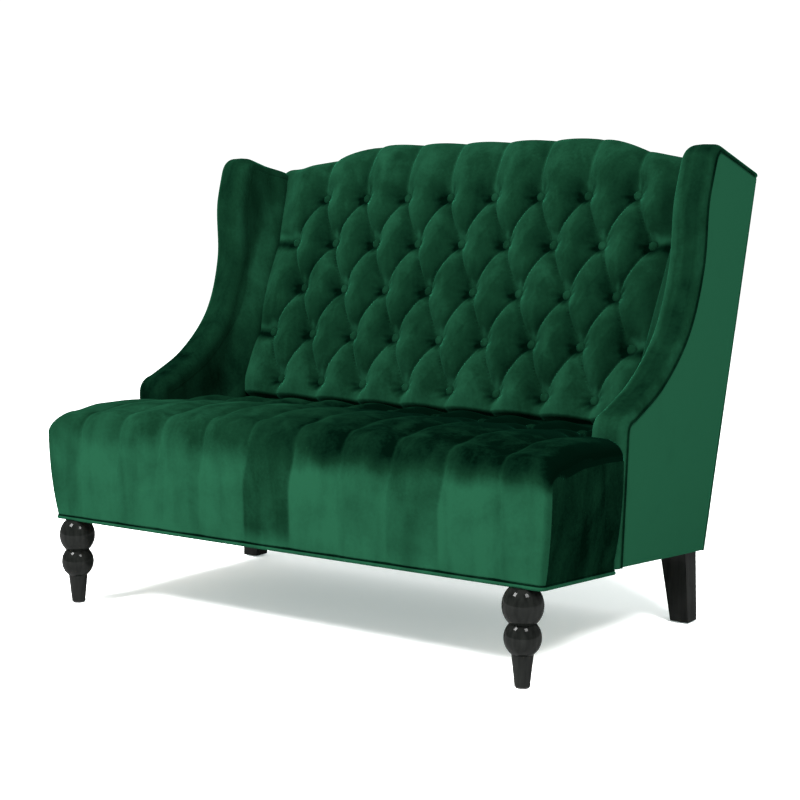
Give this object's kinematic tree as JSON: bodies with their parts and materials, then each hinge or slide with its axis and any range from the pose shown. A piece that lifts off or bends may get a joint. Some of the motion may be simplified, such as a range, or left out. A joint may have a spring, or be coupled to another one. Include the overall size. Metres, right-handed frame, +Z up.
{
  "type": "high back settee",
  "caption": "Two-seat upholstered settee with a tall deep-buttoned back between winged sides, a fixed channelled seat, turned front legs and square raked rear legs.",
  "frame": {"origin": "on the floor, under the middle of the settee's box", "axes": "+X to the right seen from the front, along the settee's width; +Y towards the back; +Z up; the seat faces -Y"},
  "size_m": [1.3176, 0.8558, 1.0169],
  "materials": {
    "velvet": "deep-buttoned cotton velvet, deep emerald green, short directional pile",
    "velvet_piping": "piping and bottom band in the same velvet",
    "polished_wood": "turned hardwood, near-black brown stain under gloss lacquer",
    "frame_wood": "sawn hardwood frame, unfinished",
    "frame_plywood": "birch plywood, unfinished",
    "foam": "upholstery foam, unfinished",
    "felt": "needled felt pad",
    "webbing": "woven jute webbing",
    "dust_cloth": "thin black cloth under the seat",
    "spring_steel": "drawn spring wire and pressed clips",
    "zinc_steel": "zinc plated bolts and leg plates",
    "glide_plastic": "hard plastic glides"
  },
  "bodies": {
    "root": {"back_buttons": "velvet", "back_centre_stile": "frame_wood", "back_foam": "foam", "back_lower_rail": "frame_wood", "back_post_left": "frame_wood", "back_post_right": "frame_wood", "back_top_rail": "frame_wood", "back_webbing": "webbing", "base_band": "velvet_piping", "base_welt": "velvet_piping", "corner_blocks": "frame_wood", "dust_cover": "dust_cloth", "edge_roll": "foam", "front_leg_left": "polished_wood", "front_leg_right": "polished_wood", "inside_back_cover": "velvet", "leg_bolts": "zinc_steel", "leg_glides": "glide_plastic", "leg_plates": "zinc_steel", "outside_back": "velvet", "rear_leg_left": "polished_wood", "rear_leg_right": "polished_wood", "seat_back_rail": "frame_wood", "seat_buttons": "velvet", "seat_centre_rail": "frame_wood", "seat_cover": "velvet", "seat_foam": "foam", "seat_front_rail": "frame_wood", "seat_side_rail_left": "frame_wood", "seat_side_rail_right": "frame_wood", "seat_springs": "spring_steel", "side_cover_left": "velvet", "side_cover_right": "velvet", "spring_clips": "spring_steel", "spring_felt": "felt", "wing_board_left": "frame_plywood", "wing_board_right": "frame_plywood", "wing_lining_left": "velvet", "wing_lining_right": "velvet", "wing_roll_left": "velvet", "wing_roll_right": "velvet", "wing_welt_left": "velvet_piping", "wing_welt_right": "velvet_piping"}
  },
  "joints": []
}
